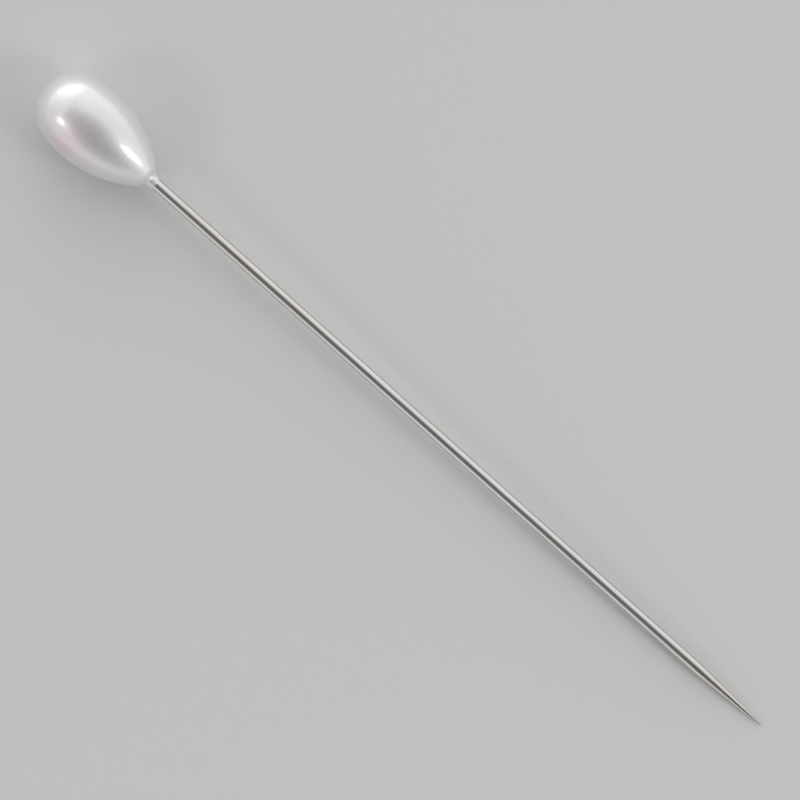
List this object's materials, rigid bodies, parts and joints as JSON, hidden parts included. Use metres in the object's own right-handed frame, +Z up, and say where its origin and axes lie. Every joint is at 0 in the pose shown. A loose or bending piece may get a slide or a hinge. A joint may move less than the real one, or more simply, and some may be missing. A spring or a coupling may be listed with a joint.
{
  "type": "straight pin",
  "caption": "Straight steel pin with a long ground point and a teardrop pearl-look plastic head, lying as it comes down on a flat surface.",
  "frame": {"origin": "on the surface that the pin lies on, under the middle of its length", "axes": "+X from the head to the point, +Z up from the surface; the pin's own axis dips 2.51 degrees from +X towards the point, because the head and the start of the point both touch the surface"},
  "size_m": [0.055, 0.0048, 0.0048],
  "materials": {
    "pearl_coat": "satin",
    "plated_steel": "polished"
  },
  "bodies": {
    "root": {"pearl_head": "pearl_coat", "pin_shaft": "plated_steel"}
  },
  "joints": []
}
